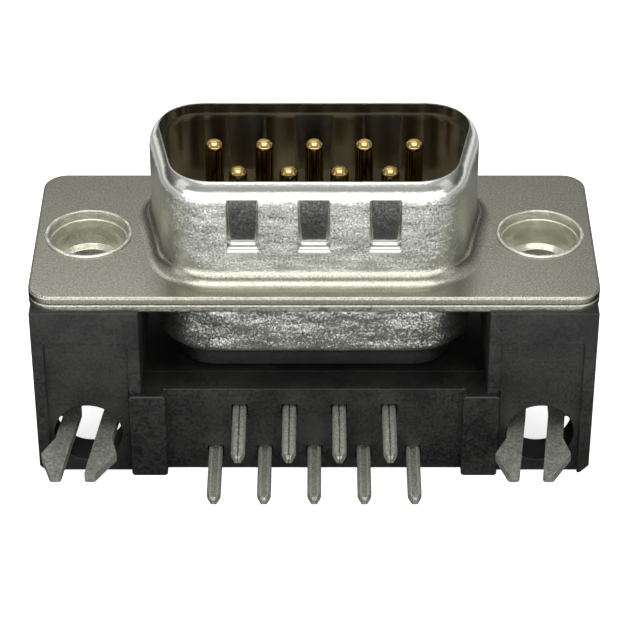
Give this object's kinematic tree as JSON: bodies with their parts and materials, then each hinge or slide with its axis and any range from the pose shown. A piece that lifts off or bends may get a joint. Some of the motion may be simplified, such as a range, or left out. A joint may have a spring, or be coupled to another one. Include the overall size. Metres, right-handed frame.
{
  "type": "right-angle filtered d-sub plug",
  "caption": "Right-angle board-mount filtered plug with a D-shaped metal shell, gold pins, solder tails, threaded inserts and forked board locks.",
  "frame": {"origin": "centre of the flange's front face, midway between the two threaded inserts", "axes": "+Z the way the mating connector leaves, +X along the contact rows, -Y towards the circuit board"},
  "size_m": [0.0308, 0.0169, 0.0176],
  "materials": {
    "tinned_sheet": "bright tin over drawn steel, satin flange",
    "insert_metal": "turned, bright tin",
    "contact_plating": "gold on the pin, matte tin on the tail",
    "lock_metal": "matte tin, mottled",
    "housing_plastic": "moulded glass-filled, fine mottle",
    "insulator": "moulded black",
    "ferrite": "pressed and sintered, dark grey",
    "capacitor_ceramic": "fired ceramic, tan"
  },
  "bodies": {
    "root": {"front_shell": "tinned_sheet", "rear_shell": "tinned_sheet", "front_insulator": "insulator", "ferrite_block": "ferrite", "capacitor_array": "capacitor_ceramic", "rear_insulator": "insulator", "bracket_housing": "housing_plastic", "pin_organiser": "housing_plastic", "threaded_insert_left": "insert_metal", "threaded_insert_right": "insert_metal", "board_lock_left": "lock_metal", "board_lock_right": "lock_metal", "contact_1": "contact_plating", "contact_2": "contact_plating", "contact_3": "contact_plating", "contact_4": "contact_plating", "contact_5": "contact_plating", "contact_6": "contact_plating", "contact_7": "contact_plating", "contact_8": "contact_plating", "contact_9": "contact_plating"}
  },
  "joints": []
}
